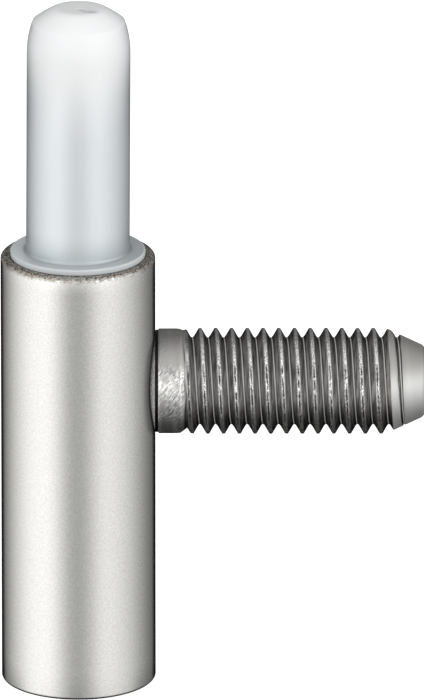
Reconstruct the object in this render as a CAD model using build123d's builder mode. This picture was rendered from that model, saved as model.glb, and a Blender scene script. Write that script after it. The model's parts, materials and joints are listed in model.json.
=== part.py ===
"""Frame part of a screw-in door hinge, in millimetres.

A round steel barrel carries an upright hinge pin in a plastic sleeve, and a threaded steel
stud stands out of the barrel's side, square to the pin. The door's own half of the hinge
turns on the sleeve and rests on the sleeve's flange; the stud screws into the door frame.

The hinge axis is Z, with the origin at the centre of the barrel's lower end. The stud
points along +X.
"""
import os
from math import radians, tan

from build123d import *

os.makedirs("parts", exist_ok=True)

# Barrel: a steel bar, turned, with a blind hole for the pin in its upper end
barrel_diameter = 14.72
barrel_height = 42.45
barrel_top_round = 0.38
barrel_base_chamfer = 0.12
bore_depth = 20.0
bore_mouth_chamfer = 0.3
drill_point_angle = 118.0

# Hinge pin: a press fit in the barrel, down to the end of the hole's full width
pin_diameter = 8.0
pin_stand_out = 21.6
pin_lower_chamfer = 0.5
pin_upper_chamfer = 0.8

# Sleeve: a moulded plastic cap over the pin, with a flange that lies on the barrel
sleeve_pin_clearance = 0.02
sleeve_wall = 0.905
crown_thickness = 3.05
nose_radius = 2.28
nose_height = 1.36
nose_bulge = 0.07
shoulder_inset = 0.52
shoulder_height = 3.1
flange_thickness = 0.55
flange_setback = 0.93
flange_rim_bevel = 0.15
flange_root_bevel = 0.3
gate_mark_radius = 0.45
gate_mark_depth = 0.12

# Stud: a blunt cone seated in the barrel's side, a neck, a plain collar and a thread
stud_below_top = 12.74
stud_stand_out = 25.78
seat_depth = 1.08
seat_cone_slope = 12.5
neck_gap = 0.255
neck_step = 0.28
collar_length = 2.09
collar_step = 0.05
collar_edge_bevel = 0.1
collar_runout_angle = 37.0
tip_length = 3.85
tip_angle = 24.6
tip_edge_bevel = 0.2

# Thread: rolled, right-handed, with 60 degree flanks
thread_diameter = 10.1
thread_pitch = 1.5
thread_depth_per_pitch = 0.62
crest_flat_per_pitch = 1 / 6
flank_angle = 30.0
first_crest_from_collar = 1.07
ridge_foot_depth = 0.1
thread_rise_step = 0.2
thread_rise_slope = 10.8

# Places that follow from the sizes above
barrel_radius = barrel_diameter / 2
pin_radius = pin_diameter / 2
pin_foot = barrel_height - bore_depth
pin_top = barrel_height + pin_stand_out
sleeve_bore_radius = pin_radius + sleeve_pin_clearance
sleeve_radius = sleeve_bore_radius + sleeve_wall
sleeve_top = pin_top + crown_thickness
shoulder_top = sleeve_top - nose_height
shoulder_foot = shoulder_top - shoulder_height
shoulder_radius = sleeve_radius - shoulder_inset
flange_radius = barrel_radius - flange_setback
flange_top = barrel_height + flange_thickness
thread_radius = thread_diameter / 2
root_radius = thread_radius - thread_depth_per_pitch * thread_pitch
collar_radius = thread_radius - collar_step
neck_radius = collar_radius - neck_step

# Places along the stud, measured from where its axis leaves the barrel's side
stud_origin = (barrel_radius, 0, barrel_height - stud_below_top)
seat_edge = neck_radius * tan(radians(seat_cone_slope)) - seat_depth
collar_end = neck_gap + collar_length
first_crest = neck_gap + first_crest_from_collar
tip_start = stud_stand_out - tip_length
tip_bevel_start = stud_stand_out - tip_edge_bevel
tip_bevel_radius = thread_radius - (tip_bevel_start - tip_start) * tan(radians(tip_angle))

# Barrel
with BuildPart() as barrel:
    with BuildSketch(Plane.XY):
        Circle(barrel_radius)
    extrude(amount=barrel_height)
    fillet(barrel.edges().sort_by(Axis.Z)[-1], barrel_top_round)
    chamfer(barrel.edges().sort_by(Axis.Z)[0], barrel_base_chamfer)

    # The pin's hole, with a small lead-in at its mouth and the cone that a drill leaves
    drill_point_depth = pin_radius / tan(radians(drill_point_angle / 2))
    with BuildSketch(Plane.XZ):
        with BuildLine():
            Polyline(
                (0, pin_foot - drill_point_depth),
                (pin_radius, pin_foot),
                (pin_radius, barrel_height - bore_mouth_chamfer),
                (pin_radius + bore_mouth_chamfer, barrel_height),
                (0, barrel_height),
                close=True,
            )
        make_face()
    revolve(axis=Axis.Z, mode=Mode.SUBTRACT)

    # The seat of the stud: the stud's own blunt end, sunk in the barrel's side
    with BuildSketch(Plane(stud_origin, x_dir=(1, 0, 0), z_dir=(0, -1, 0))):
        with BuildLine():
            Polyline(
                (-seat_depth, 0),
                (seat_edge, neck_radius),
                (collar_end, neck_radius),
                (collar_end, 0),
                close=True,
            )
        make_face()
    revolve(axis=Axis(stud_origin, (1, 0, 0)), mode=Mode.SUBTRACT)
barrel.part.label = "barrel"
export_step(barrel.part, "parts/barrel.step")

# Hinge pin
with BuildPart() as hinge_pin:
    with BuildSketch(Plane.XY.offset(pin_foot)):
        Circle(pin_radius)
    extrude(amount=pin_top - pin_foot)
    chamfer(hinge_pin.edges().sort_by(Axis.Z)[0], pin_lower_chamfer)
    chamfer(hinge_pin.edges().sort_by(Axis.Z)[-1], pin_upper_chamfer)
hinge_pin.part.label = "hinge_pin"
export_step(hinge_pin.part, "parts/hinge_pin.step")

# Pin sleeve: its half section, turned about the hinge axis
with BuildPart() as pin_sleeve:
    with BuildSketch(Plane.XZ):
        with BuildLine():
            Polyline(
                (sleeve_bore_radius, barrel_height),
                (flange_radius, barrel_height),
                (flange_radius, flange_top - flange_rim_bevel),
                (flange_radius - flange_rim_bevel, flange_top),
                (sleeve_radius + flange_root_bevel, flange_top),
                (sleeve_radius, flange_top + flange_root_bevel),
                (sleeve_radius, shoulder_foot),
            )
            TangentArc(
                (sleeve_radius, shoulder_foot),
                (shoulder_radius, shoulder_top),
                tangent=(0, 1),
            )
            SagittaArc((shoulder_radius, shoulder_top), (nose_radius, sleeve_top), -nose_bulge)
            Polyline(
                (nose_radius, sleeve_top),
                (gate_mark_radius, sleeve_top),
                (0, sleeve_top - gate_mark_depth),
                (0, pin_top),
                (sleeve_bore_radius - pin_upper_chamfer, pin_top),
                (sleeve_bore_radius, pin_top - pin_upper_chamfer),
                (sleeve_bore_radius, barrel_height),
            )
        make_face()
    revolve(axis=Axis.Z)
pin_sleeve.part.label = "pin_sleeve"
export_step(pin_sleeve.part, "parts/pin_sleeve.step")

# Thread ridge: one helical turn after another, its foot sunk in the root of the thread
ridge_foot_radius = root_radius - ridge_foot_depth
half_crest = crest_flat_per_pitch * thread_pitch / 2
half_foot = half_crest + (thread_radius - ridge_foot_radius) * tan(radians(flank_angle))
ridge_turns = int((stud_stand_out - first_crest) / thread_pitch) + 1
ridge_path = Helix(
    thread_pitch,
    ridge_turns * thread_pitch,
    root_radius,
    center=(first_crest, 0, 0),
    direction=(1, 0, 0),
)
with BuildPart() as thread_ridge:
    with BuildSketch(Plane.XZ):
        with BuildLine():
            Polyline(
                (first_crest - half_foot, ridge_foot_radius),
                (first_crest - half_crest, thread_radius),
                (first_crest + half_crest, thread_radius),
                (first_crest + half_foot, ridge_foot_radius),
                close=True,
            )
        make_face()
    sweep(path=ridge_path, is_frenet=True)

# Stud along its own axis, with the origin where that axis leaves the barrel's side
with BuildPart() as stud_by_itself:
    # The core of the thread starts inside the collar and runs out past the tip
    core_start = neck_gap + collar_length / 3
    core_end = stud_stand_out + thread_pitch
    with BuildSketch(Plane((core_start, 0, 0), x_dir=(0, 0, 1), z_dir=(1, 0, 0))):
        Circle(root_radius)
    extrude(amount=core_end - core_start)
    add(thread_ridge.part)

    # The envelope: the first crests rise out of the collar, and the tip's cone cuts the last
    rise_start_radius = (
        collar_radius
        - thread_rise_step
        - (collar_end - core_start) * tan(radians(thread_rise_slope))
    )
    clear_radius = thread_radius + thread_pitch / 4
    rise_length = (clear_radius - rise_start_radius) / tan(radians(thread_rise_slope))
    tip_clear_start = tip_start - (clear_radius - thread_radius) / tan(radians(tip_angle))
    with BuildSketch(Plane.XZ):
        with BuildLine():
            Polyline(
                (core_start, 0),
                (core_start, rise_start_radius),
                (core_start + rise_length, clear_radius),
                (tip_clear_start, clear_radius),
                (tip_bevel_start, tip_bevel_radius),
                (stud_stand_out, tip_bevel_radius - tip_edge_bevel),
                (stud_stand_out, 0),
                close=True,
            )
        make_face()
    revolve(axis=Axis.X, mode=Mode.INTERSECT)

    # Blunt end, neck and collar, with the collar's far side sloping down into the thread
    slope_end_radius = root_radius - collar_step
    slope_end = collar_end + (collar_radius - slope_end_radius) / tan(radians(collar_runout_angle))
    with BuildSketch(Plane.XZ):
        with BuildLine():
            Polyline(
                (-seat_depth, 0),
                (seat_edge, neck_radius),
                (neck_gap, neck_radius),
                (neck_gap, collar_radius - collar_edge_bevel),
                (neck_gap + collar_edge_bevel, collar_radius),
                (collar_end, collar_radius),
                (slope_end, slope_end_radius),
                (slope_end, 0),
                close=True,
            )
        make_face()
    revolve(axis=Axis.X)

# Threaded stud: the same, seated in the barrel's side
with BuildPart() as threaded_stud:
    with Locations(stud_origin):
        add(stud_by_itself.part)
threaded_stud.part.label = "threaded_stud"
export_step(threaded_stud.part, "parts/threaded_stud.step")
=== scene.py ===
# %% [markdown]
# # The frame part of a screw-in door hinge
#
# A round steel barrel carries a hinge pin under a milky plastic sleeve, and a threaded steel
# stud is welded to its side. The construction is fixed already: it is loaded here as a frame,
# in metres, and this lesson only dresses it. Three finishes carry the picture: satin nickel on
# the barrel, soft translucent plastic on the sleeve, and dark rolled steel on the stud.

# %% Load the frame
import json
import math

import bmesh
import bpy
import numpy as np
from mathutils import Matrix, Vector, noise


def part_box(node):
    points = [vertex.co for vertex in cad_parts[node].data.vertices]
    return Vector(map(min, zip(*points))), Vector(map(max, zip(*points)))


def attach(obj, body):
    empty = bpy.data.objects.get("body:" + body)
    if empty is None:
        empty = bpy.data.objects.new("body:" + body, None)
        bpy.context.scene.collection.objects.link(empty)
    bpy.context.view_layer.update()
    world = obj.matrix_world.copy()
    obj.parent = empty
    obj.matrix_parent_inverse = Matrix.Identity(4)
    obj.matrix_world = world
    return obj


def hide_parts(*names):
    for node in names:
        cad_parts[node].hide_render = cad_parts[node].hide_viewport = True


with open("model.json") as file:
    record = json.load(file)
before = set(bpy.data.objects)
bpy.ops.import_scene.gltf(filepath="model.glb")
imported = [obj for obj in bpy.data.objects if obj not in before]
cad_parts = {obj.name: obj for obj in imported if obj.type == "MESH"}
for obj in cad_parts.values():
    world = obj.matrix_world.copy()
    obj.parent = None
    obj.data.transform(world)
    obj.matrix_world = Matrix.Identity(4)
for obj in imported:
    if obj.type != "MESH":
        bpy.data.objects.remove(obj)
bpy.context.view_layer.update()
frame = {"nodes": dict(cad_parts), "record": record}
print("nodes:", sorted(frame["nodes"]))

# %% [markdown]
# ## Sizes
#
# The main sizes of the real parts are read from the frame: a node's box gives its reach, and
# the mounts give the radii of sleeve, collar and thread. Typing them in again would be quicker,
# but then a new frame would no longer fit. Outlines are drawn in millimetres, as in a workshop
# drawing, and turned into metres only when a mesh is made.

# %% Sizes from the frame
MM = 0.001
mounts = {mount["name"]: mount for mount in frame["record"]["mounts"]}


def node_box(node):
    """Lowest and highest corner of a node, in millimetres."""
    low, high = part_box(node)
    return low / MM, high / MM


barrel_radius = node_box("barrel")[1].x
barrel_height = node_box("barrel")[1].z
pin_radius = node_box("hinge_pin")[1].x
pin_foot = node_box("hinge_pin")[0].z
pin_top = node_box("hinge_pin")[1].z
sleeve_radius = mounts["hinge_journal"]["dims"]["r_mm"]
sleeve_top = node_box("pin_sleeve")[1].z
flange_radius = node_box("pin_sleeve")[1].x
flange_top = mounts["thrust_face"]["pos_m"][2] / MM
stud_height = mounts["stud_collar"]["pos_m"][2] / MM
stud_start = node_box("threaded_stud")[0].x
stud_end = node_box("threaded_stud")[1].x
collar_radius = mounts["stud_collar"]["dims"]["r_mm"]
thread_radius = mounts["frame_thread"]["dims"]["r_mm"]
print(f"barrel {2 * barrel_radius:.2f} x {barrel_height:.1f} mm")
print(f"stud axis at {stud_height:.2f} mm")

# %% [markdown]
# ## Outlines with rounded corners
#
# No real edge is sharp: a thin round on it catches the light, and that line tells the eye that
# the thing is metal or plastic. A bevel modifier could add it, but turned parts are easier to
# draw as an outline whose corners each turn on an arc of their own, and to spin afterwards.

# %% Outline helpers


def rounded_outline(corners, steps=6):
    """Points along (across, along, rounding) corners, where each rounding is an arc's radius."""
    points = []
    for index, (across, along, rounding) in enumerate(corners):
        here = np.array((across, along), float)
        if rounding == 0:
            points.append(here)
            continue
        back = np.array(corners[index - 1][:2], float) - here
        ahead = np.array(corners[index + 1][:2], float) - here
        back /= np.linalg.norm(back)
        ahead /= np.linalg.norm(ahead)
        half_angle = math.acos(float(np.clip(back @ ahead, -1, 1))) / 2
        middle = (back + ahead) / np.linalg.norm(back + ahead)
        centre = here + middle * rounding / math.sin(half_angle)
        first = here + back * rounding / math.tan(half_angle) - centre
        last = here + ahead * rounding / math.tan(half_angle) - centre
        sweep = math.pi - 2 * half_angle
        for share in np.linspace(0, 1, steps + 1):
            turned = first * math.sin((1 - share) * sweep) + last * math.sin(share * sweep)
            points.append(centre + turned / math.sin(sweep))
    return np.array(points)


def filled_in(outline, longest):
    """The outline with more points on it, so that no run between two is over longest."""
    points = [outline[0]]
    for start, end in zip(outline[:-1], outline[1:]):
        runs = max(1, math.ceil(np.linalg.norm(end - start) / longest))
        points.extend(start + (end - start) * step / runs for step in range(1, runs + 1))
    return np.array(points)


# %% [markdown]
# ## From a grid of points to a piece
#
# A turned part is a grid: rows along its outline and columns round its axis. The helper joins
# the grid into quads, merges the points that fall together at the ends, and shades it smooth
# except at true edges. A thread is nearly the same grid, but its rows run along the helix, so
# its last column joins the first one a whole turn further on: that is the turn_rows value.

# %% Mesh helpers
merge_distance = 2e-7
sliver_length = 1e-7


def grid_faces(rows, columns, first=0, turn_rows=0):
    """Quads of a grid whose last column joins the first, turn_rows rows further on."""
    faces = []
    for row in range(rows - 1):
        for column in range(columns):
            wraps = column == columns - 1
            beside = (row + (turn_rows if wraps else 0)) * columns + (column + 1) % columns
            if beside + columns < rows * columns:
                here = row * columns + column
                quad = (here, beside, beside + columns, here + columns)
                faces.append(tuple(first + corner for corner in quad))
    return faces


def make_piece(name, points, faces, sharp_degrees=35):
    """A mesh object from points in millimetres, cleaned, with its faces turned outward."""
    mesh = bpy.data.meshes.new(name)
    mesh.from_pydata((np.asarray(points) * MM).tolist(), [], faces)
    shape = bmesh.new()
    shape.from_mesh(mesh)
    bmesh.ops.remove_doubles(shape, verts=shape.verts, dist=merge_distance)
    bmesh.ops.dissolve_degenerate(shape, edges=shape.edges, dist=sliver_length)
    bmesh.ops.recalc_face_normals(shape, faces=shape.faces)
    open_edges = sum(1 for edge in shape.edges if not edge.is_manifold)
    shape.to_mesh(mesh)
    shape.free()
    mesh.polygons.foreach_set("use_smooth", [True] * len(mesh.polygons))
    mesh.set_sharp_from_angle(angle=math.radians(sharp_degrees))
    piece = bpy.data.objects.new(name, mesh)
    bpy.context.scene.collection.objects.link(piece)
    mesh.calc_loop_triangles()
    print(f"{name}: {len(mesh.loop_triangles)} triangles, {open_edges} open edges")
    return piece


def soft_minimum(first, second, blend):
    """The smaller of two values, with a round of about the size of blend where they cross."""
    share = np.clip(0.5 + 0.5 * (second - first) / blend, 0, 1)
    return second * (1 - share) + first * share - blend * share * (1 - share)


# %% [markdown]
# ## Barrel
#
# The barrel is bar stock, turned: a plain cylinder with a rounded upper edge, a hole for the
# pin, and a shallow conical seat where the stud is welded in. A boolean could cut the seat, but
# it leaves a ring of long thin faces that spoils the reflections. Here the columns are set
# close together on the stud's side, and the points there are simply pressed in to the seat's
# cone, with a soft lip, as the metal has where it gave way under the stud.

# %% Barrel
bore_mouth = 0.3
drill_point = 2.4
top_round = 0.38
base_round = 0.2
seat_slope = math.tan(math.radians(12.5))
seat_lip = 0.16
seat_reach = 5.6
seat_side = 45
side_columns = 144
upper_spacing, seat_spacing, foot_spacing = 1.5, 0.09, 2.5

barrel_outline = rounded_outline([
    (0, pin_foot - drill_point, 0),
    (pin_radius, pin_foot, 0),
    (pin_radius, barrel_height - bore_mouth, 0),
    (pin_radius + bore_mouth, barrel_height, 0),
    (barrel_radius, barrel_height, top_round),
    (barrel_radius, stud_height + seat_reach, 0),
])
barrel_foot = rounded_outline([
    (barrel_radius, stud_height - seat_reach, 0),
    (barrel_radius, 0, base_round),
    (0, 0, 0),
])
seat_rows = filled_in(np.array([barrel_outline[-1], barrel_foot[0]]), seat_spacing)
barrel_rows = np.concatenate([
    filled_in(barrel_outline, upper_spacing)[:-1],
    seat_rows,
    filled_in(barrel_foot, foot_spacing)[1:],
])
fine_columns = np.linspace(-seat_side, seat_side, side_columns + 1)[:-1]
plain_columns = np.linspace(seat_side, 360 - seat_side, side_columns + 1)[:-1]
barrel_angles = np.radians(np.concatenate([fine_columns, plain_columns]))

across, along = barrel_rows[:, :1], barrel_rows[:, 1:]
barrel_grid = np.stack([
    across * np.cos(barrel_angles),
    across * np.sin(barrel_angles),
    along * np.ones_like(barrel_angles),
], axis=-1)
on_side = (across > barrel_radius - 1e-6) & (np.cos(barrel_angles) > 0.5)
from_stud_axis = np.hypot(barrel_grid[..., 1], barrel_grid[..., 2] - stud_height)
seat_surface = stud_start + seat_slope * from_stud_axis
pressed_in = soft_minimum(barrel_grid[..., 0], seat_surface, seat_lip)
barrel_grid[..., 0] = np.where(on_side, pressed_in, barrel_grid[..., 0])
barrel = make_piece(
    "satin_barrel",
    barrel_grid.reshape(-1, 3),
    grid_faces(len(barrel_rows), len(barrel_angles)),
)

# %% [markdown]
# ## Pin sleeve
#
# The sleeve is moulded in one piece: a thin flange that lies on the barrel, a straight wall, a
# shoulder that draws in on a long arc, and a blunt nose with the small pit that the mould's
# gate leaves. It is a lathe shape, so its outline is spun with many columns, because plastic
# this pale shows every flat on its edge. The real sleeve stands a third of a degree off the
# pin's line and its gate mark lies off the middle: only the outside is leaned and drawn aside,
# so the bore still fits the pin.

# %% Pin sleeve
sleeve_bore = pin_radius + 0.02
nose_radius = 2.28
nose_height = 1.36
nose_bulge = 0.07
shoulder_inset = 0.52
shoulder_height = 3.1
pin_chamfer = 0.8
gate_radius = 0.45
gate_depth = 0.12
gate_aside = (0.2, -0.7)
gate_reach = 1.8
lean = math.tan(math.radians(0.33))
arc_steps, nose_steps, sleeve_columns = 13, 8, 192
point_spacing = 0.5
off_bore = 0.01

shoulder_top = sleeve_top - nose_height
shoulder_foot = shoulder_top - shoulder_height
shoulder_radius = sleeve_radius - shoulder_inset
arc_radius = (shoulder_inset ** 2 + shoulder_height ** 2) / (2 * shoulder_inset)
arc_end = math.asin(shoulder_height / arc_radius)
shoulder_arc = [
    (
        sleeve_radius - arc_radius * (1 - math.cos(turn)),
        shoulder_foot + arc_radius * math.sin(turn),
        0,
    )
    for turn in np.linspace(0, arc_end, arc_steps + 1)[:-1]
]
nose_run = math.hypot(shoulder_radius - nose_radius, nose_height)
# The nose's last point before its flat is left out, because the wide round there starts earlier
nose_arc = [
    (
        shoulder_radius + (nose_radius - shoulder_radius) * share + bulge * nose_height / nose_run,
        shoulder_top + nose_height * share + bulge * (shoulder_radius - nose_radius) / nose_run,
        0,
    )
    for share in np.linspace(0, 1, nose_steps + 1)[1:-2]
    for bulge in [4 * nose_bulge * share * (1 - share)]
]
sleeve_outline = rounded_outline([
    (0, pin_top, 0),
    (sleeve_bore - pin_chamfer, pin_top, 0),
    (sleeve_bore, pin_top - pin_chamfer, 0),
    (sleeve_bore, barrel_height, 0),
    (flange_radius, barrel_height, 0.04),
    (flange_radius, flange_top, 0.16),
    (sleeve_radius, flange_top, 0.3),
    *shoulder_arc,
    (shoulder_radius, shoulder_top, 0.15),
    *nose_arc,
    (nose_radius, sleeve_top, 1.9),
    (gate_radius, sleeve_top, 0.12),
    (0, sleeve_top - gate_depth, 0),
])
sleeve_rows = filled_in(sleeve_outline, point_spacing)
sleeve_angles = np.linspace(0, 2 * math.pi, sleeve_columns + 1)[:-1]
sleeve_grid = np.stack([
    sleeve_rows[:, :1] * np.cos(sleeve_angles),
    sleeve_rows[:, :1] * np.sin(sleeve_angles),
    sleeve_rows[:, 1:] * np.ones_like(sleeve_angles),
], axis=-1)
out, up = sleeve_rows[:, :1], sleeve_rows[:, 1:]
over_pin = up > pin_top + off_bore
outside = (out > sleeve_bore + off_bore) | over_pin
leaning = np.where(outside, np.maximum(up - flange_top, 0), 0) * lean
drawn_aside = np.where(over_pin, np.clip(1 - out / gate_reach, 0, 1), 0)
sleeve_grid[..., 0] += leaning + gate_aside[0] * drawn_aside
sleeve_grid[..., 1] += gate_aside[1] * drawn_aside
sleeve = make_piece(
    "plastic_sleeve",
    sleeve_grid.reshape(-1, 3),
    grid_faces(len(sleeve_rows), len(sleeve_angles)),
)

# %% [markdown]
# ## Stud
#
# The stud's thread is rolled: dies press the grooves into a round blank, and the metal that
# they push up meets in the middle of each crest and leaves a ragged seam there. Spinning one
# tooth with a screw modifier gives a clean helix but no start, no end and no seam. This grid
# instead asks one function for the radius at each point: the thread's section, held under the
# rising first crests and the tip's cone, and over the collar's sloping side.

# %% Stud: the section of the thread
pitch = 1.5
root_radius = thread_radius - 0.93
crest_half = 0.125
flank = math.tan(math.radians(30))
root_half = pitch / 2 - crest_half - (thread_radius - root_radius) * flank
collar_start = barrel_radius + 0.255
collar_end = collar_start + 2.09
first_crest = collar_start + 1.07
neck_radius = collar_radius - 0.12
tip_start = stud_end - 3.85
tip_slope = math.tan(math.radians(24.6))
rise_slope = math.tan(math.radians(10.8))
runout_slope = math.tan(math.radians(37))
collar_line = collar_end - 0.25
tip_line = stud_end - 0.45
crest_round, rise_round, tip_round = 0.09, 0.04, 0.03
collar_round, join_round = 0.12, 0.03

# The root is rounder on the collar's side of a crest than on the tip's side
root_places = [-pitch / 2, -0.45, 0.45, pitch / 2]
root_rounds = [0.24, 0.42, 0.12, 0.24]

# Steps from the middle of one crest to the next: close together where the section turns
half_steps = np.array([0, 0.035, 0.07, 0.1, 0.13, 0.165, 0.24, 0.35, 0.47, 0.56, 0.61, 0.65, 0.69])
pitch_steps = np.concatenate([half_steps, [pitch / 2], pitch - half_steps[:0:-1]])


def thread_section(steps):
    """Radius of the thread at a distance along the axis from the middle of a crest."""
    beside = (steps + pitch / 2) % pitch - pitch / 2
    slope = thread_radius - (np.abs(beside) - crest_half) / flank
    crest = soft_minimum(slope, np.full_like(slope, thread_radius), crest_round)
    root_round = np.interp(beside, root_places, root_rounds)
    return -soft_minimum(-crest, np.full_like(crest, -root_radius), root_round)


print(f"thread: root {root_radius:.2f} mm, flat {2 * root_half:.3f} mm wide at the root")

# %% Stud: the grid along the helix
columns = 168
noise_along, noise_round = 2.2, 7.0
seam_from, seam_fade = 0.7, 0.2
seam_half, seam_depth = 0.07, 0.09
seam_contrast = 2.2
wear_half, wear_depth = 0.2, 0.05
angles = np.arange(columns) * 2 * math.pi / columns
turns = math.ceil((tip_line - collar_line) / pitch) + 2
turn_rows = len(pitch_steps)
grid_start = first_crest + pitch * (math.floor((collar_line - first_crest) / pitch) - 1)
row_steps = np.concatenate([turn * pitch + pitch_steps for turn in range(turns + 1)])
helix_x = grid_start + row_steps[:, None] + pitch * angles / (2 * math.pi)
helix_x = np.clip(helix_x, collar_line, tip_line)
from_crest = helix_x - first_crest - pitch * angles / (2 * math.pi)

seam_noise = np.array([
    [
        noise.noise(Vector((x * noise_along, noise_round * up, noise_round * front)))
        for up, front, x in zip(np.cos(angles), np.sin(angles), row)
    ]
    for row in helix_x
])
in_crest = np.abs((from_crest + pitch / 2) % pitch - pitch / 2)
seam_open = np.clip((np.abs(np.sin(angles)) - seam_from) / seam_fade, 0, 1)
seam_torn = np.clip(seam_noise * seam_contrast, 0, 1) * seam_open
seam = np.clip(1 - in_crest / seam_half, 0, 1) * seam_torn
wear = np.clip(1 - in_crest / wear_half, 0, 1) * np.clip(-seam_noise, 0, 1)

thread = thread_section(from_crest) - seam * seam_depth - wear * wear_depth
rising = collar_radius - 0.2 + (helix_x - collar_end) * rise_slope
tip_cone = thread_radius - (helix_x - tip_start) * tip_slope
held_in = soft_minimum(soft_minimum(thread, rising, rise_round), tip_cone, tip_round)
collar_side = collar_radius - np.maximum(helix_x - collar_end, 0) * runout_slope
collar_side = soft_minimum(collar_side, np.full_like(collar_side, collar_radius), collar_round)
collar_side = np.where(helix_x < collar_end + 2, collar_side, 0)
radius = -soft_minimum(-held_in, -collar_side, join_round)
radius = np.where(helix_x <= collar_line, collar_radius, radius)
helix_grid = np.stack([
    helix_x,
    -radius * np.sin(angles),
    stud_height + radius * np.cos(angles),
], axis=-1)

# %% Stud: the blunt end, the collar and the tip's face
end_spacing = 0.4
neck_line = stud_start + seat_slope * neck_radius
blunt_end = rounded_outline([
    (0, stud_start, 0),
    (neck_radius, neck_line, 0.03),
    (neck_radius, collar_start, 0.03),
    (collar_radius, collar_start, 0.16),
    (collar_radius, collar_line, 0),
])
tip_line_radius = thread_radius - (tip_line - tip_start) * tip_slope
tip_face = rounded_outline([
    (tip_line_radius, tip_line, 0),
    (tip_line_radius - 0.02, tip_line + 0.04, 0),
    (tip_line_radius - 0.45, stud_end, 0.08),
    (0, stud_end, 0),
])


def spun_about_stud(outline):
    """Grid of an outline of (radius, x) points spun about the stud's axis."""
    return np.stack([
        outline[:, 1:] * np.ones_like(angles),
        -outline[:, :1] * np.sin(angles),
        stud_height + outline[:, :1] * np.cos(angles),
    ], axis=-1)


stud_points, stud_faces = [], []
for grid, shift in (
    (spun_about_stud(filled_in(blunt_end, end_spacing)), 0),
    (helix_grid, turn_rows),
    (spun_about_stud(filled_in(tip_face, end_spacing)), 0),
):
    stud_faces += grid_faces(len(grid), columns, len(stud_points) * columns, shift)
    stud_points.extend(grid)
stud = make_piece("rolled_stud", np.reshape(stud_points, (-1, 3)), stud_faces)

# %% [markdown]
# ## Building materials from nodes
#
# A material is a small network, and most of its lines only add a node and link it. A few
# helpers keep that short. Effects that several finishes share are node groups with named
# sockets: a soft step along a measure, the grain of a rolled, plated or moulded surface, and
# the measures that wear and dirt follow, such as the distance from the hinge's axis or from the
# stud's. A group puts out only masks and values; the shader itself stays in each material.

# %% Node helpers


def set_inputs(tree, node, inputs):
    """Set each named input of a node to a value, or link it to a socket."""
    for key, value in inputs.items():
        if isinstance(value, bpy.types.NodeSocket):
            tree.links.new(value, node.inputs[key])
        else:
            node.inputs[key].default_value = value


def add_node(tree, kind, inputs=None, **settings):
    """A new node of a tree, with its settings and its inputs."""
    made = tree.nodes.new(kind)
    for key, value in settings.items():
        setattr(made, key, value)
    set_inputs(tree, made, inputs or {})
    return made


def calculate(tree, operation, *values):
    """The output of a Math node on up to three values or sockets."""
    inputs = dict(enumerate(values))
    return add_node(tree, "ShaderNodeMath", inputs, operation=operation).outputs[0]


def turned_over(tree, mask):
    """A mask turned over, so that it is 0 where it was 1."""
    return calculate(tree, "SUBTRACT", 1.0, mask)


def add_shares(tree, value, *shares):
    """A value with a share of each mask added to it, from pairs of (mask, share)."""
    for mask, share in shares:
        value = calculate(tree, "MULTIPLY_ADD", mask, share, value)
    return value


def mix_colours(tree, share, first, second):
    """The colour between first and second, by a share from 0 to 1."""
    inputs = {0: share}
    for key, colour in ((6, first), (7, second)):
        inputs[key] = (*colour, 1) if isinstance(colour, tuple) else colour
    return add_node(tree, "ShaderNodeMix", inputs, data_type="RGBA").outputs[2]


def paint_over(tree, colour, *layers):
    """A colour under pairs of (mask, colour), each painted over the ones before it."""
    for mask, paint in layers:
        colour = mix_colours(tree, mask, colour, paint)
    return colour


def add_relief(tree, shader, height):
    """Turn a height in metres into the normal that the shader sees."""
    inputs = {"Height": height, "Strength": 1.0, "Distance": 1.0}
    bump = add_node(tree, "ShaderNodeBump", inputs)
    tree.links.new(bump.outputs["Normal"], shader.inputs["Normal"])


def new_group(name, inputs, outputs):
    """An empty node group with named inputs and their values, and named outputs."""
    tree = bpy.data.node_groups.new(name, "ShaderNodeTree")
    for key, kind, value in inputs:
        socket = tree.interface.new_socket(key, in_out="INPUT", socket_type=kind)
        socket.default_value = value
    for key in outputs:
        tree.interface.new_socket(key, in_out="OUTPUT", socket_type="NodeSocketFloat")
    return tree, tree.nodes.new("NodeGroupInput"), tree.nodes.new("NodeGroupOutput")


def place_group(tree, group, inputs):
    """The outputs of a copy of a group in a material's tree, with its own values."""
    return add_node(tree, "ShaderNodeGroup", inputs, node_tree=group).outputs


def new_material(name, slot_colour):
    """A material with its tree, its Principled shader and the place of each shaded point."""
    material = bpy.data.materials.new(name)
    material.use_nodes = True
    material.diffuse_color = (*slot_colour, 1)
    tree = material.node_tree
    place = tree.nodes.new("ShaderNodeTexCoord").outputs["Object"]
    return material, tree, tree.nodes["Principled BSDF"], place


# %% Shared group: a soft step
step_group, step_in, step_out = new_group(
    "soft_step",
    [
        ("Value", "NodeSocketFloat", 0.0),
        ("From", "NodeSocketFloat", 0.0),
        ("To", "NodeSocketFloat", 1.0),
    ],
    ["Mask"],
)
step_map = add_node(
    step_group,
    "ShaderNodeMapRange",
    {
        "Value": step_in.outputs["Value"],
        "From Min": step_in.outputs["From"],
        "From Max": step_in.outputs["To"],
    },
    interpolation_type="SMOOTHSTEP",
)
step_group.links.new(step_map.outputs["Result"], step_out.inputs["Mask"])


def step_of(tree, value, start, end):
    """Mask that rises softly from 0 to 1 as a value passes from start to end."""
    return place_group(tree, step_group, {"Value": value, "From": start, "To": end})["Mask"]


def step_in_mm(tree, length, start, end):
    """The same for a length, with start and end in millimetres."""
    return step_of(tree, length, start * MM, end * MM)


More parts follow.
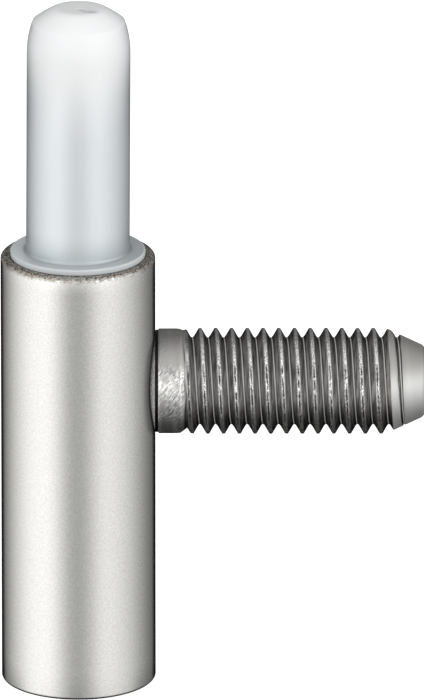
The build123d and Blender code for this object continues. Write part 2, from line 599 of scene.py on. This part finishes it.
# %% Shared group: a grain
grain_group, grain_in, grain_out = new_group(
    "grain",
    [
        ("Place", "NodeSocketVector", (0, 0, 0)),
        ("Size", "NodeSocketFloat", 0.0002),
        ("Stretch", "NodeSocketVector", (1, 1, 1)),
    ],
    ["Fine", "Coarse"],
)
coarse_share = 0.22
stretched = add_node(
    grain_group,
    "ShaderNodeVectorMath",
    {0: grain_in.outputs["Place"], 1: grain_in.outputs["Stretch"]},
    operation="MULTIPLY",
).outputs[0]
fine_scale = calculate(grain_group, "DIVIDE", 1.0, grain_in.outputs["Size"])
coarse_scale = calculate(grain_group, "MULTIPLY", fine_scale, coarse_share)
for scale, output in ((fine_scale, "Fine"), (coarse_scale, "Coarse")):
    cloud = add_node(
        grain_group,
        "ShaderNodeTexNoise",
        {"Vector": stretched, "Scale": scale, "Detail": 3.0, "Roughness": 0.6},
    )
    grain_group.links.new(cloud.outputs["Fac"], grain_out.inputs[output])


def grain_of(tree, place, size, stretch=(1, 1, 1)):
    """Outputs of the grain, with a size in millimetres, drawn out where a stretch is small."""
    return place_group(tree, grain_group, {"Place": place, "Size": size * MM, "Stretch": stretch})


# %% Shared group: the measured places
place_map, map_in, map_out = new_group(
    "places",
    [("Place", "NodeSocketVector", (0, 0, 0)), ("Stud Height", "NodeSocketFloat", 0.03)],
    ["Along Stud", "Height", "Above Stud", "From Hinge", "From Stud"],
)
axes = add_node(place_map, "ShaderNodeSeparateXYZ", {0: map_in.outputs["Place"]})
above = calculate(place_map, "SUBTRACT", axes.outputs["Z"], map_in.outputs["Stud Height"])
across_square = calculate(place_map, "MULTIPLY", axes.outputs["Y"], axes.outputs["Y"])
for across_axis, output in ((axes.outputs["X"], "From Hinge"), (above, "From Stud")):
    squares = calculate(place_map, "MULTIPLY_ADD", across_axis, across_axis, across_square)
    place_map.links.new(calculate(place_map, "SQRT", squares), map_out.inputs[output])
place_map.links.new(axes.outputs["X"], map_out.inputs["Along Stud"])
place_map.links.new(axes.outputs["Z"], map_out.inputs["Height"])
place_map.links.new(above, map_out.inputs["Above Stud"])


def measures_of(tree, place):
    """Outputs of the group that measures where on the part a shaded point lies."""
    return place_group(tree, place_map, {"Place": place, "Stud Height": stud_height * MM})


print("shared groups:", step_group.name, grain_group.name, place_map.name)

# %% [markdown]
# ## Satin nickel
#
# Satin nickel is plated steel with a very fine grain: it mirrors the room, but softly, so a
# soft box becomes a broad band. The plating ends at the upper rim, where the barrel was cut and
# the bare steel is rough and a little brown, and grains of it break the line up. Where the
# flange lies on the rim, a thin black line of painted contact shadow is drawn. Painted shade
# darkens the crevice round the stud's seat and the edge of the foot, and a softer painted halo
# beside the seat stands for the shade and dark reflection of the stud's end. A Layer Weight node
# paints the dark line of shade that the barrel shows down each side, where its surface turns away.

# %% Satin nickel: masks
bare_height = 0.36
fine_fray, coarse_fray = 1.0, 0.6
plating_end = barrel_height - bare_height + (fine_fray + coarse_fray) / 2

nickel, tree, shader, place = new_material("satin_nickel", (0.72, 0.71, 0.68))
grain = grain_of(tree, place, 0.11)
specks = grain_of(tree, place, 0.2)["Fine"]
where = measures_of(tree, place)

frays = (specks, fine_fray * MM), (grain["Coarse"], coarse_fray * MM)
ragged = add_shares(tree, where["Height"], *frays)
bare = step_in_mm(tree, ragged, plating_end - 0.12, plating_end + 0.2)
# Painted contact shadow: a thin black line where the flange lies on the rim
flange_contact_shadow = calculate(
    tree,
    "MULTIPLY",
    step_in_mm(tree, where["From Hinge"], flange_radius + 0.12, flange_radius + 0.05),
    step_in_mm(tree, where["Height"], barrel_height - 0.45, barrel_height - 0.25),
)
seat_cone = calculate(tree, "MULTIPLY_ADD", where["From Stud"], seat_slope, stud_start * MM)
seat_gap = calculate(tree, "SUBTRACT", seat_cone, where["Along Stud"])
near_stud = step_in_mm(tree, where["From Stud"], neck_radius + 0.5, neck_radius - 0.1)
# Painted shade: near black in the crevice round the stud's seat, and a softer halo beside it for
# the shade and dark reflection of the stud's end
crevice_shade = calculate(tree, "MULTIPLY", step_in_mm(tree, seat_gap, 0.3, 0.16), near_stud)
seat_shade = calculate(tree, "MULTIPLY", step_in_mm(tree, seat_gap, 1.2, 0.2), near_stud)
seat_shade = calculate(tree, "MULTIPLY", seat_shade, 0.62)
# Painted shade along the edge of the foot
foot_shade = calculate(tree, "MULTIPLY", step_in_mm(tree, where["Height"], 0.3, 0.15), 0.9)
# Painted shade down each side, where the surface turns away
facing = add_node(tree, "ShaderNodeLayerWeight", {"Blend": 0.5}).outputs["Facing"]
painted_side_shade = calculate(tree, "MULTIPLY", step_of(tree, facing, 0.70, 0.85), 0.9)

# %% Satin nickel: colours and shader
plating_grain = (0.765, 0.76, 0.73), (0.835, 0.828, 0.80)
bare_grain = (0.11, 0.10, 0.088), (0.58, 0.54, 0.485)
# Colours of painted contact shadow and painted shade
contact_shadow_colour = (0.02, 0.018, 0.016)
crevice_shade_colour = (0.01, 0.01, 0.01)
seat_shade_colour = (0.05, 0.05, 0.05)
line_shade_colour = (0.02, 0.02, 0.02)
plating_relief, bare_relief = 0.004, 0.03

plated = mix_colours(tree, step_of(tree, specks, 0.38, 0.62), *plating_grain)
cut_steel = mix_colours(tree, step_of(tree, specks, 0.42, 0.56), *bare_grain)
colour = paint_over(
    tree,
    plated,
    (bare, cut_steel),
    (flange_contact_shadow, contact_shadow_colour),
    (seat_shade, seat_shade_colour),
    (crevice_shade, crevice_shade_colour),
    (foot_shade, line_shade_colour),
    (painted_side_shade, line_shade_colour),
)
depth = add_shares(tree, plating_relief * MM, (bare, bare_relief * MM))
set_inputs(tree, shader, {
    "Base Color": colour,
    "Roughness": add_shares(tree, 0.22, (grain["Fine"], 0.06), (bare, 0.25)),
    "Metallic": 1.0,
})
add_relief(tree, shader, calculate(tree, "MULTIPLY", grain["Fine"], depth))
barrel.data.materials.append(nickel)
print(f"{nickel.name}: {len(tree.nodes)} nodes")

# %% [markdown]
# ## Milky plastic
#
# The sleeve lets light in a little way and scatters it, so its shading is soft, and it looks
# bluish where the steel pin stands close behind the wall. The pin's own sheen comes back
# through that wall as two faint bands, which a small metallic share stands for, because a full
# volume would take far longer to render. Above the pin the plastic is solid and nearly white,
# and the white is also painted further down the crown as light from above. The thin flange over
# dark steel is the greyest; its left side is painted lighter, its rim carries a lighter line of
# painted light, and painted shade lies where the wall meets the flange. Both sides of the wall
# darken where it turns away, a grey smudge lies beside the gate's pit, and the pit itself holds
# painted shade.

# %% Milky plastic: masks
plastic, tree, shader, place = new_material("milky_plastic", (0.80, 0.84, 0.87))
grain = grain_of(tree, place, 0.9)
where = measures_of(tree, place)
height, from_hinge = where["Height"], where["From Hinge"]
crown = step_in_mm(tree, height, pin_top - 10.5, pin_top + 0.3)
below_crown = turned_over(tree, crown)
on_nose = step_in_mm(tree, height, shoulder_top - 0.4, shoulder_top + 0.6)
low_wall = step_in_mm(tree, height, flange_top + 3.0, flange_top - 0.2)
on_flange = step_in_mm(tree, from_hinge, sleeve_radius + 0.1, sleeve_radius + 0.4)
on_rim = step_in_mm(tree, from_hinge, flange_radius - 0.2, flange_radius - 0.08)
# Painted light: the flange's left side is made lighter
painted_light_at_left = step_in_mm(tree, where["Along Stud"], -4.2, -5.6)
# Painted shade where the wall meets the flange
root_shade = calculate(
    tree,
    "MULTIPLY",
    step_in_mm(tree, height, flange_top + 0.7, flange_top + 0.1),
    step_in_mm(tree, from_hinge, sleeve_radius + 0.7, sleeve_radius + 0.2),
)

# Both sides darken as they turn away, most of all where the crown's white sets in
facing = add_node(tree, "ShaderNodeLayerWeight", {"Blend": 0.5}).outputs["Facing"]
half_way = calculate(tree, "MULTIPLY", crown, below_crown)
edge_depth = add_shares(tree, 0.35, (half_way, 0.6))
side_depth = add_shares(tree, 0.08, (half_way, 0.4))
side_shade = calculate(tree, "MULTIPLY", step_of(tree, facing, 0.08, 0.5), side_depth)
edge_shade = add_shares(tree, side_shade, (step_of(tree, facing, 0.36, 0.9), edge_depth))
for surface, share in ((on_flange, -1.0), (on_nose, -0.6)):
    edge_shade = calculate(tree, "MULTIPLY", edge_shade, add_shares(tree, 1.0, (surface, share)))


def mark_near(x, y, reach, stretch):
    """Mask of a soft round mark on the sleeve's top, in millimetres from the hinge axis."""
    centre = (-x * MM, -y * MM, -sleeve_top * MM)
    away = place
    for operation, value in (("ADD", centre), ("MULTIPLY", stretch)):
        inputs = {0: away, 1: value}
        away = add_node(tree, "ShaderNodeVectorMath", inputs, operation=operation).outputs[0]
    distance = add_node(tree, "ShaderNodeVectorMath", {0: away}, operation="LENGTH")
    return step_in_mm(tree, distance.outputs["Value"], reach, 0.3 * reach)


smudge = mark_near(1.1, -1.35, 1.15, (1.0, 2.0, 1.0))
smudge = calculate(tree, "MULTIPLY", smudge, step_of(tree, grain["Fine"], 0.35, 0.6))
# Painted shade in the gate's pit
pit_shade = mark_near(0.35, -0.72, 0.4, (1.0, 1.0, 1.0))
smudge_and_pit_shade = calculate(tree, "MULTIPLY", calculate(tree, "MAXIMUM", smudge, pit_shade), 0.5)

# %% Milky plastic: colours and shader
wall_clouds = (0.765, 0.81, 0.83), (0.80, 0.84, 0.86)
wall_foot = (0.55, 0.595, 0.615)
# The crown's white is partly the solid plastic above the pin and partly painted light from above
crown_white_and_painted_light = (0.96, 0.97, 0.975)
flange_grey_and_painted_light = (0.475, 0.505, 0.525), (0.70, 0.74, 0.755)
rim_painted_light = (0.62, 0.66, 0.67)
painted_root_shading = (0.30, 0.34, 0.36)
edge_colour = (0.10, 0.13, 0.14)
smudge_and_shade_colour = (0.25, 0.27, 0.29)
pin_sheen = 0.41
plastic_relief = 0.004

flange_colour = mix_colours(tree, painted_light_at_left, *flange_grey_and_painted_light)
# The rim is painted lighter along the flange's edge, as painted light
flange_colour = mix_colours(tree, on_rim, flange_colour, rim_painted_light)
colour = paint_over(
    tree,
    mix_colours(tree, grain["Coarse"], *wall_clouds),
    (low_wall, wall_foot),
    (crown, crown_white_and_painted_light),
    (on_flange, flange_colour),
    (calculate(tree, "MULTIPLY", root_shade, 0.1), painted_root_shading),
    (edge_shade, edge_colour),
    (smudge_and_pit_shade, smudge_and_shade_colour),
)
sheen = calculate(tree, "MULTIPLY", below_crown, pin_sheen)
set_inputs(tree, shader, {
    "Base Color": colour,
    "Metallic": calculate(tree, "MULTIPLY", turned_over(tree, on_flange), sheen),
    "Roughness": 0.34,
    "Subsurface Weight": 0.25,
    "Subsurface Radius": (1.0, 1.1, 1.2),
    "Subsurface Scale": 0.0008,
})
add_relief(tree, shader, calculate(tree, "MULTIPLY", grain["Fine"], plastic_relief * MM))
sleeve.data.materials.append(plastic)
print(f"{plastic.name}: {len(tree.nodes)} nodes")

# %% [markdown]
# ## Rolled steel: places on the thread
#
# The finish changes from crest to root, so the shader has to know where on the thread a point
# lies. The grid above already knew: the distance along the axis, less a pitch for each turn,
# repeats from crest to crest. The same sum in nodes gives every point its distance from the
# middle of the nearest crest, without any image to paint.

# %% Rolled steel: places on the thread
steel, tree, shader, place = new_material("rolled_steel", (0.40, 0.39, 0.37))
where = measures_of(tree, place)
along_stud, from_stud = where["Along Stud"], where["From Stud"]
sideways = add_node(tree, "ShaderNodeSeparateXYZ", {0: place}).outputs["Y"]
to_front = calculate(tree, "MULTIPLY", sideways, -1.0)
turned = calculate(tree, "ARCTAN2", to_front, where["Above Stud"])
turned = calculate(tree, "DIVIDE", turned, 2 * math.pi)
pitches = calculate(tree, "SUBTRACT", along_stud, first_crest * MM)
pitches = calculate(tree, "DIVIDE", pitches, pitch * MM)
beside_crest = calculate(tree, "WRAP", calculate(tree, "SUBTRACT", pitches, turned), 0.5, -0.5)
off_crest = calculate(tree, "MULTIPLY", calculate(tree, "ABSOLUTE", beside_crest), pitch * MM)

in_cone = calculate(tree, "SUBTRACT", along_stud, tip_start * MM)
in_cone = calculate(tree, "MULTIPLY_ADD", in_cone, tip_slope, from_stud)
in_cone = calculate(tree, "SUBTRACT", in_cone, thread_radius * MM)

# %% [markdown]
# ## Rolled steel
#
# The stud is steel as it left the rolling dies. Its flanks keep a dark skin with streaks along
# the thread, and its crests are rubbed bright, with a ragged dark seam where the die left them
# open. The root of each groove gets a painted highlight, a thin bright line, between two lines
# of painted shade. The collar is smooth, with short slanting strokes on its sides, and its top
# and bottom are painted darker as shade. All that the tip's cone cuts is turned clean, with
# painted shade towards its top. The blunt end is a matt weld skin, so it is less metallic than
# the rest, and the neck beside it is painted near black as shade.

# %% Rolled steel: grains
slanted = add_node(
    tree,
    "ShaderNodeVectorRotate",
    {"Vector": place, "Angle": math.radians(-35)},
    rotation_type="Y_AXIS",
).outputs[0]
grain = grain_of(tree, place, 0.12, (1, 0.6, 0.6))
streaks = grain_of(tree, place, 0.13, (1, 0.06, 0.06))["Fine"]
strokes = grain_of(tree, slanted, 0.16, (1, 0.6, 0.28))["Fine"]
dashes = grain_of(tree, place, 0.2, (1, 0.35, 0.35))["Fine"]

# %% Rolled steel: masks
# Painted highlight: a thin bright line in each root, with painted shade in the groove beside it
in_root = step_in_mm(tree, off_crest, pitch / 2 - 0.065, pitch / 2 - 0.03)
painted_groove_shade = step_in_mm(tree, off_crest, pitch / 2 - 0.21, pitch / 2 - 0.11)
on_crest = step_in_mm(tree, off_crest, 0.27, 0.19)
at_side = calculate(tree, "ABSOLUTE", calculate(tree, "DIVIDE", sideways, from_stud))
in_seam = step_in_mm(tree, off_crest, 0.13, 0.05)
for mask in (step_of(tree, dashes, 0.56, 0.5), step_of(tree, at_side, 0.72, 0.9)):
    in_seam = calculate(tree, "MULTIPLY", in_seam, mask)
on_rise = step_in_mm(tree, along_stud, collar_end + 1.3, collar_end + 0.9)
on_collar = step_in_mm(tree, along_stud, collar_end + 0.46, collar_end + 0.34)
on_cone = calculate(
    tree,
    "MULTIPLY",
    step_in_mm(tree, in_cone, -0.05, -0.02),
    step_in_mm(tree, along_stud, tip_start - 0.2, tip_start + 0.1),
)
on_face = step_in_mm(tree, along_stud, tip_line - 0.04, tip_line - 0.01)
on_tip = calculate(tree, "MAXIMUM", on_cone, on_face)
for surface in (on_collar, on_tip):
    in_root = calculate(tree, "MULTIPLY", in_root, turned_over(tree, surface))
# Painted shade: the neck between the blunt end and the collar is painted near black
neck_shade = step_in_mm(tree, along_stud, collar_start + 0.01, collar_start - 0.01)
on_blunt_end = step_in_mm(tree, along_stud, neck_line - 0.03, neck_line - 0.07)

# %% Rolled steel: colours
flank_streaks = (0.16, 0.156, 0.15), (0.60, 0.59, 0.57)
crest_rubs = (0.38, 0.37, 0.36), (0.80, 0.79, 0.77)
seam_colour = (0.08, 0.078, 0.072)
groove_shade_colour = (0.10, 0.097, 0.092)
painted_root_shading = (0.62, 0.61, 0.585)
collar_strokes = (0.40, 0.395, 0.385), (1.0, 0.99, 0.97)
collar_patches = (0.60, 0.59, 0.57)
collar_painted_shade = (0.44, 0.435, 0.42)
tip_below, tip_shade_above = (0.66, 0.665, 0.645), (0.40, 0.385, 0.365)
weld_skin = (0.3, 0.3, 0.29), (1.0, 0.99, 0.96)

flank_colour = mix_colours(tree, step_of(tree, streaks, 0.35, 0.65), *flank_streaks)
crest_colour = paint_over(
    tree,
    mix_colours(tree, step_of(tree, grain["Fine"], 0.38, 0.56), *crest_rubs),
    (calculate(tree, "MULTIPLY", on_rise, 0.75), flank_colour),
    (in_seam, seam_colour),
)
collar_colour = mix_colours(tree, step_of(tree, strokes, 0.38, 0.6), *collar_strokes)
plain_patches = step_of(tree, grain["Coarse"], 0.4, 0.7)
collar_colour = mix_colours(tree, plain_patches, collar_colour, collar_patches)
# Painted shade: the collar is darker over its top and bottom than at its front and back
stroked_front = step_of(tree, at_side, 0.76, 0.94)
collar_colour = mix_colours(tree, stroked_front, collar_painted_shade, collar_colour)
# Painted shade: the tip's cone is darker towards its top
tip_top_shade = step_in_mm(tree, where["Above Stud"], 0.6, 3.0)
colour = paint_over(
    tree,
    flank_colour,
    (painted_groove_shade, groove_shade_colour),
    (on_crest, crest_colour),
    (in_root, painted_root_shading),
    (on_collar, collar_colour),
    (on_tip, mix_colours(tree, tip_top_shade, tip_below, tip_shade_above)),
    (neck_shade, crevice_shade_colour),
    (on_blunt_end, mix_colours(tree, step_of(tree, grain["Fine"], 0.35, 0.6), *weld_skin)),
)

# %% Rolled steel: relief and shader
grain_relief, streak_relief, stroke_relief = 0.012, 0.010, 0.035

relief = add_shares(
    tree,
    calculate(tree, "MULTIPLY", grain["Fine"], grain_relief * MM),
    (streaks, streak_relief * MM),
    (calculate(tree, "MULTIPLY", strokes, on_collar), stroke_relief * MM),
)
less_on_tip = add_shares(tree, 1.0, (on_tip, -0.8))
add_relief(tree, shader, calculate(tree, "MULTIPLY", relief, less_on_tip))
metallic = add_shares(
    tree,
    1.0,
    (on_blunt_end, -0.7),
    (on_tip, -0.15),
    (in_root, -0.55),
    (on_crest, -0.12),
    (on_collar, -0.08),
)
roughness = add_shares(
    tree,
    0.3,
    (on_crest, -0.08),
    (on_tip, 0.25),
    (on_collar, 0.1),
    (in_root, 0.3),
)
set_inputs(tree, shader, {"Base Color": colour, "Metallic": metallic, "Roughness": roughness})
stud.data.materials.append(steel)
print(f"{steel.name}: {len(tree.nodes)} nodes")

# %% [markdown]
# ## Pin steel
#
# The pin is ground steel, and the sleeve hides all of it but its light: it still gets a real
# finish, with faint rings from the grinding wheel, for anyone who takes the sleeve off.

# %% Pin steel
ground_greys = (0.54, 0.54, 0.54), (0.66, 0.66, 0.66)
ground, tree, shader, place = new_material("pin_steel", (0.62, 0.62, 0.62))
grain = grain_of(tree, place, 0.2, (0.2, 0.2, 2.5))
set_inputs(tree, shader, {
    "Base Color": mix_colours(tree, grain["Fine"], *ground_greys),
    "Roughness": add_shares(tree, 0.2, (grain["Coarse"], 0.15)),
    "Metallic": 1.0,
})
pin = frame["nodes"]["hinge_pin"]
pin.data.materials.clear()
pin.data.materials.append(ground)
print(f"{ground.name}: {len(tree.nodes)} nodes")

# %% [markdown]
# ## Each piece on its body
#
# The part has no joints, so it has one body, and each new piece rides on it. Each new piece stands
# for the plain solid that it dresses, which is hidden. Barrel and stud are left out of mirror
# images, because the photo shows neither of them in the other's nickel or steel.

# %% Bodies
for piece, node, slot in (
    (barrel, "barrel", "satin_nickel"),
    (sleeve, "pin_sleeve", "milky_plastic"),
    (stud, "threaded_stud", "rolled_steel"),
):
    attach(piece, "root")
    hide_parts(node)
    print(f"{piece.name} stands for {node}")
# The stud's dark reflection beside the seat is painted into the nickel's colour as shade instead
for piece in (barrel, stud):
    piece.visible_glossy = False

# %% [markdown]
# ## Studio
#
# Metal shows its surroundings, so lighting it means building what it mirrors. In a studio that
# is a tall soft box on each side with a dimmer gap between them, a low wide box in front for
# the collar, light overhead for the sleeve's nose, and black card and a dark ground, which
# keep the thread's flanks and its underside dark. Area lamps could stand for the boxes, but a
# world painted by direction gives the same soft bands at any height and costs no noise. The
# camera itself sees plain white.

# %% World: directions
world = bpy.data.worlds.new("studio")
bpy.context.scene.world = world
world.use_nodes = True
tree = world.node_tree
tree.nodes.clear()
coordinates = tree.nodes.new("ShaderNodeTexCoord")
direction = add_node(tree, "ShaderNodeSeparateXYZ", {0: coordinates.outputs["Generated"]})
towards_camera = calculate(tree, "MULTIPLY", direction.outputs["Y"], -1.0)
azimuth = calculate(tree, "ARCTAN2", direction.outputs["X"], towards_camera)
elevation = calculate(tree, "ARCSINE", direction.outputs["Z"])
aside = calculate(tree, "ABSOLUTE", azimuth)


def rising(angle, dark, full):
    """Mask that grows from one angle to another, both in degrees."""
    return step_of(tree, angle, math.radians(dark), math.radians(full))


def between(angle, dark_from, full_from, full_to, dark_to):
    """Mask of the directions between two angles in degrees, with a soft side of its own at each."""
    rise = rising(angle, dark_from, full_from)
    fall = rising(angle, dark_to, full_to)
    return calculate(tree, "MULTIPLY", rise, fall)


def patch(sideways_mask, upward_mask):
    """Mask of the directions that two masks share."""
    return calculate(tree, "MULTIPLY", sideways_mask, upward_mask)


def dim_light(light, mask, kept):
    """The light with only a share of it kept where the mask is 1."""
    return calculate(tree, "MULTIPLY", light, add_shares(tree, 1.0, (mask, kept - 1.0)))


# %% World: boxes, cards and ground
left_box = between(azimuth, -155, -62, -50, -4)
left_top = rising(elevation, -6, 20)
right_box = between(azimuth, 1, 42, 46, 130)
front_box = patch(between(azimuth, -75, -35, 35, 75), between(elevation, -15, -4, 9, 30))
high_sides = patch(between(aside, 18, 45, 125, 160), between(elevation, 12, 34, 66, 82))
low_right = patch(between(azimuth, 30, 65, 95, 120), between(elevation, -4, 8, 26, 42))
overhead = rising(elevation, 48, 78)
ceiling = rising(elevation, 40, 75)
side_card = patch(between(aside, 106, 118, 150, 165), between(elevation, -15, -8, 10, 26))
black_card = patch(between(aside, 143, 154, 179, 185), between(elevation, -90, -89, -2, 8))
front_ground = rising(elevation, -24, -58)
back_ground = patch(rising(aside, 80, 115), rising(elevation, -20, -29))
in_front = rising(aside, 149, 100.3)

# %% World: light
room_light, room_gain = 0.205, 0.26
ground_light = 0.04
studio_level = 0.8

left_light = dim_light(left_box, left_top, 0.6)
light = add_shares(tree, room_light, (in_front, room_gain), (left_light, 1.06), (right_box, 0.73))
light = dim_light(light, ceiling, 0.65)
boxes = (front_box, 1.18), (high_sides, 0.4), (low_right, 0.75), (overhead, 0.45)
light = add_shares(tree, light, *boxes)
light = dim_light(light, side_card, 0.55)
light = dim_light(light, black_card, 0.03)
above_ground = dim_light(dim_light(1.0, front_ground, 0.0), back_ground, 0.0)
above_ground = add_shares(tree, ground_light, (above_ground, 1.0 - ground_light))
light = calculate(tree, "MULTIPLY", light, above_ground)
light = calculate(tree, "MULTIPLY", light, studio_level)
is_camera = tree.nodes.new("ShaderNodeLightPath").outputs["Is Camera Ray"]
seen = calculate(tree, "MULTIPLY_ADD", light, turned_over(tree, is_camera), is_camera)
background = add_node(tree, "ShaderNodeBackground", {"Color": (1, 1, 1, 1), "Strength": seen})
output = tree.nodes.new("ShaderNodeOutputWorld")
tree.links.new(background.outputs[0], output.inputs["Surface"])
print(f"{world.name}: {len(tree.nodes)} nodes")

# %% [markdown]
# ## Floor and lamp
#
# The part stands on a white table. The camera sees the table's own white plus the light that
# falls on it, so only the shadow under the part shows; metal looks through it to the soft
# boxes, as if the table ended just behind the part. One small lamp, high in front, sets the
# bright point that the photo shows on each crest.

# %% Floor
floor_half = 3.0
table_white = (0.8, 0.8, 0.8, 1)
table_glow = 0.72

floor_mesh = bpy.data.meshes.new("floor")
floor_signs = ((-1, -1), (1, -1), (1, 1), (-1, 1))
floor_corners = [(x * floor_half, y * floor_half, 0) for x, y in floor_signs]
floor_mesh.from_pydata(floor_corners, [], [(0, 1, 2, 3)])
floor = bpy.data.objects.new("floor", floor_mesh)
bpy.context.scene.collection.objects.link(floor)

table = bpy.data.materials.new("white_table")
table.use_nodes = True
tree = table.node_tree
tree.nodes.clear()
rays = tree.nodes.new("ShaderNodeLightPath")
lit = add_node(tree, "ShaderNodeBsdfDiffuse", {"Color": table_white})
seen_glow = calculate(tree, "MULTIPLY", rays.outputs["Is Camera Ray"], table_glow)
glow = add_node(tree, "ShaderNodeEmission", {"Strength": seen_glow})
both = add_node(tree, "ShaderNodeAddShader", {0: lit.outputs[0], 1: glow.outputs[0]})
clear = tree.nodes.new("ShaderNodeBsdfTransparent")
mixed = add_node(
    tree,
    "ShaderNodeMixShader",
    {0: rays.outputs["Is Glossy Ray"], 1: both.outputs[0], 2: clear.outputs[0]},
)
output = tree.nodes.new("ShaderNodeOutputMaterial")
tree.links.new(mixed.outputs[0], output.inputs["Surface"])
floor_mesh.materials.append(table)

# %% Lamp
lamp_place, lamp_target = Vector((-0.02, -0.30, 0.52)), Vector((0, 0, 0.03))
lamp_width = 0.035
lamp_watts = 0.11

key = bpy.data.lights.new("key", "AREA")
key.size = lamp_width
key.energy = lamp_watts
key_lamp = bpy.data.objects.new("key", key)
key_lamp.location = lamp_place
key_lamp.rotation_euler = (lamp_target - lamp_place).to_track_quat("-Z", "Y").to_euler()
bpy.context.scene.collection.objects.link(key_lamp)
print(f"lamp {(lamp_target - lamp_place).length:.2f} m from the part")

# %% [markdown]
# ## Camera
#
# The picture was taken from far off with a long lens, level with the stud and from about 19
# degrees above. The point that it looks at and its scale come from the picture: the hinge axis
# stands 78 pixels from its left edge, and one millimetre is 10.5 pixels.

# %% Camera
image_width, image_height = 424, 700
pixels_per_mm = 10.505
hinge_axis_pixel = 78.1
stud_axis_pixel = 380.8
lens, sensor = 1000.0, 36.0
camera_elevation = math.radians(19.1)

target_x = (image_width / 2 - hinge_axis_pixel) / pixels_per_mm
below_stud = (image_height / 2 - stud_axis_pixel) / pixels_per_mm / math.cos(camera_elevation)
target = Vector((target_x * MM, 0, (stud_height - below_stud) * MM))
view_distance = image_height * lens / sensor / pixels_per_mm * MM
away = Vector((0, -math.cos(camera_elevation), math.sin(camera_elevation)))
camera = bpy.data.objects.new("camera", bpy.data.cameras.new("camera"))
camera.data.lens = lens
camera.data.sensor_width = sensor
camera.data.clip_end = 20
camera.location = target + away * view_distance
camera.rotation_euler = (-away).to_track_quat("-Z", "Y").to_euler()
bpy.context.scene.collection.objects.link(camera)
bpy.context.scene.camera = camera
bpy.context.scene.view_settings.view_transform = "Standard"
print(f"camera {view_distance:.3f} m away")
